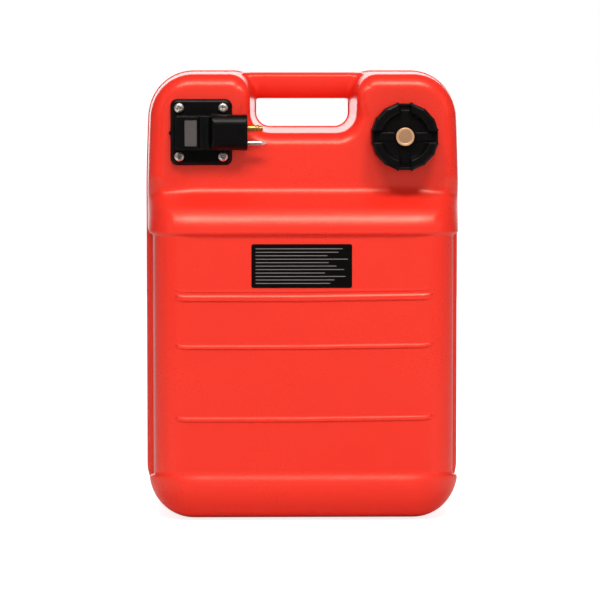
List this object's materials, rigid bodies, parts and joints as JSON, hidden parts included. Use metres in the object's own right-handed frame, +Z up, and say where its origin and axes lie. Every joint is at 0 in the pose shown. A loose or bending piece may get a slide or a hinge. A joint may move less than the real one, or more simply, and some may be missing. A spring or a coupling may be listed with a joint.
{
  "type": "outboard fuel tank",
  "caption": "Portable upright outboard fuel tank with built-in handle, screw cap with vent screw, level gauge and male quick connector.",
  "frame": {"origin": "middle of the footprint of the standing tank, on the surface it stands on; Y = 0 is the mould's parting plane", "axes": "+Z up, along the tank's height to the handle; +Y to the back, away from the cap and the gauge; +X to the right as seen from the front"},
  "size_m": [0.252, 0.176, 0.356],
  "materials": {
    "red_plastic": "moulded polyethylene, satin, very fine grain",
    "black_plastic": "moulded, satin",
    "label_film": "printed film, blank",
    "brass": "turned",
    "steel": "bright stainless",
    "seal_rubber": "matte",
    "lens_plastic": "smoked clear plastic",
    "drum_plastic": "moulded",
    "float_foam": "closed-cell foam",
    "pickup_plastic": "natural nylon"
  },
  "bodies": {
    "tank": {"tank_shell": "red_plastic", "label": "label_film", "sender_housing": "black_plastic", "sender_gasket": "seal_rubber", "gauge_lens": "lens_plastic", "flange_screws": "steel", "screw_inserts": "brass", "fuel_nipple": "brass", "locating_pin": "steel", "float_bracket": "steel", "bracket_screws": "steel", "pivot_pin": "steel", "pickup_tube": "pickup_plastic", "strainer": "pickup_plastic"},
    "cap_seal": {"cap_gasket": "seal_rubber"},
    "cap": {"filler_cap": "black_plastic", "vent_bush": "brass"},
    "vent_ring": {"vent_seal": "seal_rubber"},
    "vent": {"vent_screw": "brass"},
    "gauge": {"indicator_drum": "drum_plastic", "float_wire": "steel", "tank_float": "float_foam", "float_clips": "steel"}
  },
  "joints": [
    {"name": "cap_lift", "type": "slide", "parent": "tank", "child": "cap_seal", "axis": [0, -1, 0], "range_m": [0, 0.0126]},
    {"name": "cap_turn", "type": "hinge", "parent": "cap_seal", "child": "cap", "pos_m": [0.079, -0.062, 0.3037], "axis": [0, -1, 0], "range_deg": [0, 900]},
    {"name": "vent_lift", "type": "slide", "parent": "cap", "child": "vent_ring", "axis": [0, -1, 0], "range_m": [0, 0.0016]},
    {"name": "vent_turn", "type": "hinge", "parent": "vent_ring", "child": "vent", "pos_m": [0.079, -0.062, 0.3037], "axis": [0, -1, 0], "range_deg": [0, 540]},
    {"name": "gauge_float", "type": "hinge", "parent": "tank", "child": "gauge", "pos_m": [-0.089, -0.0655, 0.3065], "axis": [1, 0, 0], "range_deg": [0, 75]}
  ],
  "couplings": [
    {"joint": "cap_lift", "follows": "cap_turn", "m_per_rad": 0.00079577},
    {"joint": "vent_lift", "follows": "vent_turn", "m_per_rad": 0.00015915}
  ]
}
